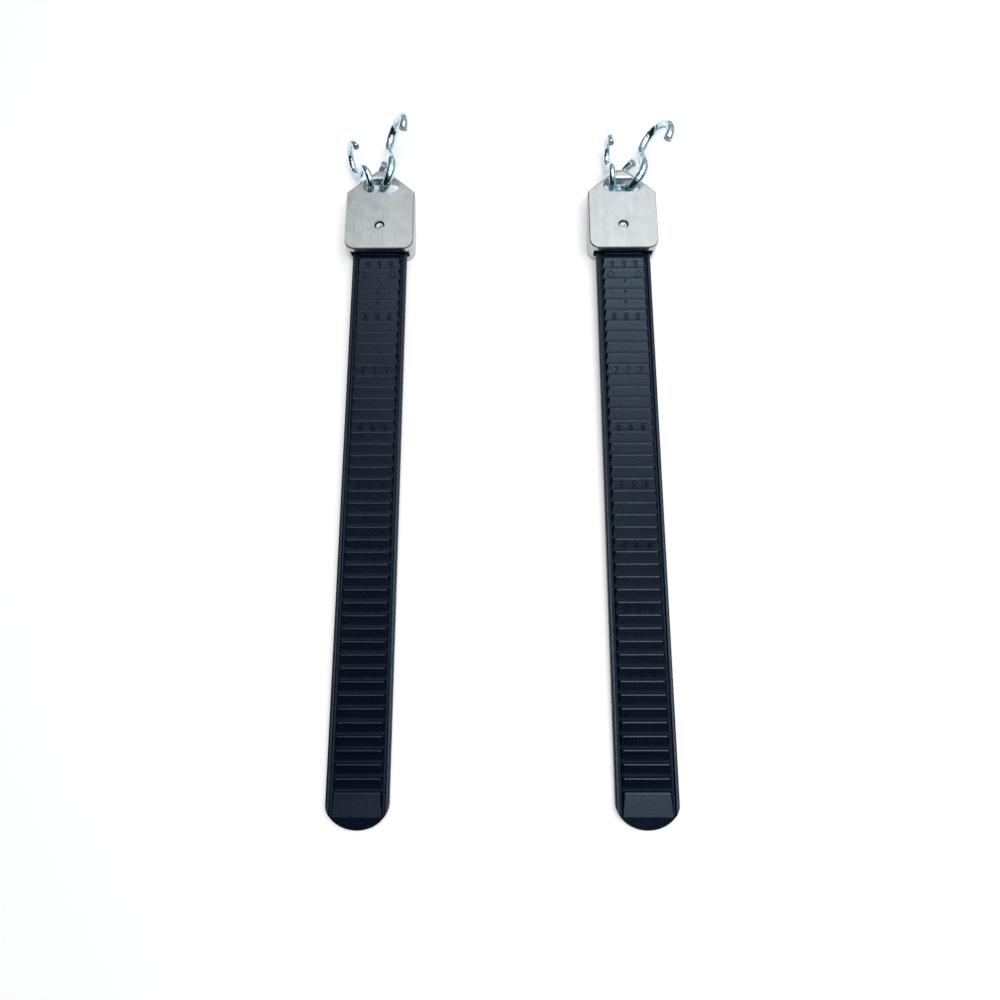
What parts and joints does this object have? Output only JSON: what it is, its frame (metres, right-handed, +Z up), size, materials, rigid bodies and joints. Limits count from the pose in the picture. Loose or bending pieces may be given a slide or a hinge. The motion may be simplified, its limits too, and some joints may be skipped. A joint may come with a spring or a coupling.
{
  "type": "ladder strap set with s-hooks",
  "caption": "Pair of moulded saw-toothed ladder straps, each pinned in an aluminium end fitting that carries a large and a small open S-hook.",
  "frame": {"origin": "middle of the set's footprint, on the surface that it lies on", "axes": "+X across the straps to the right-hand assembly, +Y along the straps towards the hooks, +Z up, away from the surface"},
  "size_m": [0.1447, 0.2962, 0.0249],
  "materials": {
    "black_polymer": "semi-matt injection-moulded polymer, black with a blue cast",
    "satin_aluminium": "satin, with fine grain along the length and handling scratches",
    "pin_steel": "bright drawn steel",
    "bright_zinc": "bright bluish zinc plate on round steel wire"
  },
  "bodies": {
    "left_fitting": {"left_end_fitting": "satin_aluminium", "left_retaining_pin": "pin_steel"},
    "left_strap": {"left_ladder_strap": "black_polymer"},
    "left_large_hook": {"left_large_s_hook": "bright_zinc"},
    "left_small_hook": {"left_small_s_hook": "bright_zinc"},
    "right_fitting": {"right_end_fitting": "satin_aluminium", "right_retaining_pin": "pin_steel"},
    "right_strap": {"right_ladder_strap": "black_polymer"},
    "right_large_hook": {"right_large_s_hook": "bright_zinc"},
    "right_small_hook": {"right_small_s_hook": "bright_zinc"}
  },
  "joints": [
    {"name": "set_spacing", "type": "slide", "parent": "left_fitting", "child": "right_fitting", "axis": [1, 0, 0], "range_m": [-0.04, 0.15]},
    {"name": "left_strap_swivel", "type": "hinge", "parent": "left_fitting", "child": "left_strap", "pos_m": [-0.0556, 0.0971, 0.005], "axis": [0, 0, 1], "range_deg": [-4, 4]},
    {"name": "left_large_hook_swing", "type": "hinge", "parent": "left_fitting", "child": "left_large_hook", "pos_m": [-0.0541, 0.1236, 0.0086], "axis": [0.8627, -0.0755, -0.5], "range_deg": [-95, 110]},
    {"name": "left_small_hook_swing", "type": "hinge", "parent": "left_fitting", "child": "left_small_hook", "pos_m": [-0.0626, 0.1204, 0.0088], "axis": [0.8712, 0.4062, -0.2756], "range_deg": [-110, 130]},
    {"name": "right_strap_swivel", "type": "hinge", "parent": "right_fitting", "child": "right_strap", "pos_m": [0.0504, 0.0971, 0.005], "axis": [0, 0, 1], "range_deg": [-4, 4]},
    {"name": "right_large_hook_swing", "type": "hinge", "parent": "right_fitting", "child": "right_large_hook", "pos_m": [0.0553, 0.1232, 0.0081], "axis": [0.7637, -0.2335, -0.6018], "range_deg": [-55, 100]},
    {"name": "right_small_hook_swing", "type": "hinge", "parent": "right_fitting", "child": "right_small_hook", "pos_m": [0.046, 0.122, 0.0075], "axis": [0.9994, 0.0349, 0], "range_deg": [-125, 120]}
  ]
}
